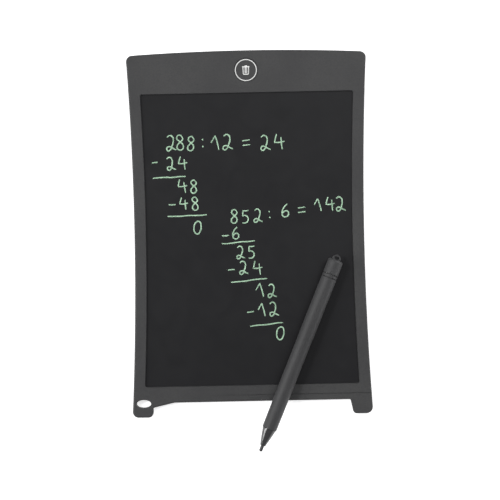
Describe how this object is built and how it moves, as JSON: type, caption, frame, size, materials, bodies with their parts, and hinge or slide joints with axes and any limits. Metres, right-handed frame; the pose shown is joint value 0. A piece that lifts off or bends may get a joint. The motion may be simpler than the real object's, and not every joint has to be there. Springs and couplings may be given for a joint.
{
  "type": "lcd writing tablet",
  "caption": "Slim dark writing tablet with drawn-in sides, a pressure film screen, a round erase button, two feet with a lanyard hole, and a stylus lying across it.",
  "frame": {"origin": "middle of the flat back, on the face that the tablet lies on", "axes": "+X to the right across the screen, +Y up to the erase button, +Z out of the screen"},
  "size_m": [0.1454, 0.2424, 0.0148],
  "materials": {
    "shell_plastic": "fine moulded grain, charcoal",
    "button_plastic": "satin charcoal with a printed ring and bin",
    "door_plastic": "fine moulded grain, charcoal",
    "slider_plastic": "black, ridged",
    "writing_film": "satin near-black film",
    "base_film": "black coated film",
    "panel_plastic": "plain black sheet",
    "tape": "black adhesive foam",
    "board_laminate": "green solder mask",
    "chip_resin": "black moulding resin",
    "ferrite": "dark grey ferrite",
    "capacitor_ceramic": "tan ceramic with tinned ends",
    "resistor_film": "black film on white ceramic",
    "connector_plastic": "cream moulded plastic",
    "ribbon_film": "amber polyimide ribbon",
    "switch_plastic": "black moulded plastic",
    "plunger_plastic": "ivory moulded plastic",
    "cell_steel": "plain nickel-plated steel",
    "screw_steel": "zinc-plated steel",
    "contact_bronze": "plated spring bronze",
    "stylus_plastic": "matt charcoal plastic",
    "cone_plastic": "glossy dark grey plastic",
    "nib_plastic": "hard smooth dark plastic"
  },
  "bodies": {
    "tablet": {"front_frame": "shell_plastic", "back_cover": "shell_plastic", "lcd_writing_film": "writing_film", "lcd_base_film": "base_film", "backing_panel": "panel_plastic", "film_tape_frame": "tape", "switch_body": "switch_plastic", "circuit_board": "board_laminate", "controller_chip": "chip_resin", "boost_inductor": "ferrite", "capacitor_input": "capacitor_ceramic", "capacitor_boost": "capacitor_ceramic", "capacitor_filter": "capacitor_ceramic", "resistor_pull_up": "resistor_film", "resistor_discharge": "resistor_film", "board_screw_left": "screw_steel", "board_screw_right": "screw_steel", "flex_connector": "connector_plastic", "lcd_flex_tail": "ribbon_film", "cell_contact_negative": "contact_bronze", "cell_contact_positive": "contact_bronze", "lock_switch_body": "cell_steel"},
    "erase_button": {"erase_button": "button_plastic", "switch_plunger": "plunger_plastic"},
    "lock_slider": {"lock_slider": "slider_plastic", "lock_switch_lever": "switch_plastic"},
    "battery_door": {"battery_door": "door_plastic", "battery_door_screw": "screw_steel", "coin_cell": "cell_steel"},
    "stylus": {"stylus_end_cap": "stylus_plastic", "stylus_barrel": "stylus_plastic", "stylus_nose_cone": "cone_plastic", "stylus_nib": "nib_plastic"}
  },
  "joints": [
    {"name": "erase_button_press", "type": "slide", "parent": "tablet", "child": "erase_button", "axis": [0, 0, -1], "range_m": [0, 0.00025], "stiffness_N_per_m": 6000},
    {"name": "lock_slide", "type": "slide", "parent": "tablet", "child": "lock_slider", "axis": [1, 0, 0], "range_m": [0, 0.003]},
    {"name": "battery_door_release", "type": "slide", "parent": "tablet", "child": "battery_door", "axis": [0, 0, -1], "range_m": [0, 0.012]},
    {"name": "stylus_lift", "type": "slide", "parent": "tablet", "child": "stylus", "axis": [0, 0, 1], "range_m": [0, 0.06]}
  ]
}
